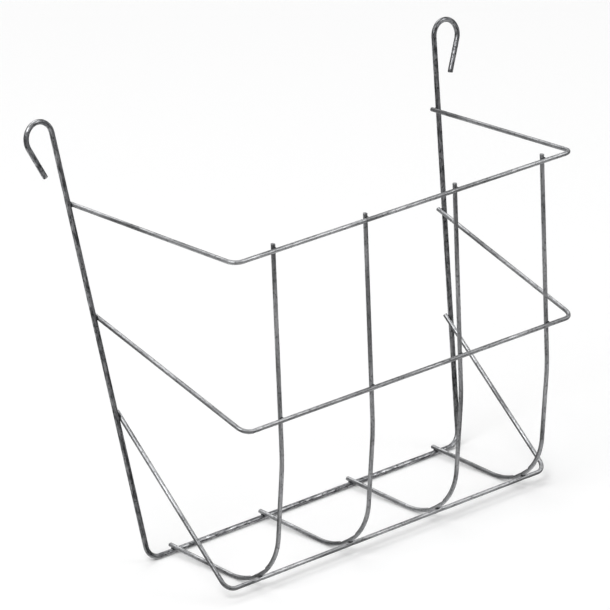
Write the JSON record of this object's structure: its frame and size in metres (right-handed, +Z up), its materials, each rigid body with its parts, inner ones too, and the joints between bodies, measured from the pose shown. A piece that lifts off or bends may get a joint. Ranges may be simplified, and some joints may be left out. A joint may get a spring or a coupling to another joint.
{
  "type": "hanging wire hay rack",
  "caption": "Open-topped wire hay rack for a small-animal cage: hooked back frame, U-shaped front hoops and J-shaped ribs, welded from plated steel wire.",
  "frame": {"origin": "on the floor, in the middle of the rack's width and depth as it stands on its rear rail and rib feet", "axes": "+Z up, -Y out of the front ribs, +X to the right as seen from the front"},
  "size_m": [0.2579, 0.1104, 0.2029],
  "materials": {
    "frame_wire": "zinc-plated drawn steel wire, mottled satin",
    "thin_wire": "zinc-plated drawn steel wire, satin",
    "weld_flash": "dark scorched weld flash under thin plating"
  },
  "bodies": {
    "root": {"back_frame": "frame_wire", "top_hoop": "thin_wire", "middle_hoop": "thin_wire", "bottom_hoop": "thin_wire", "rib_1": "thin_wire", "rib_2": "thin_wire", "rib_3": "thin_wire", "rib_4": "thin_wire", "top_rail_welds": "weld_flash", "middle_rail_welds": "weld_flash", "bottom_rail_welds": "weld_flash", "rear_rail_welds": "weld_flash", "left_upright_welds": "weld_flash", "right_upright_welds": "weld_flash"}
  },
  "joints": []
}
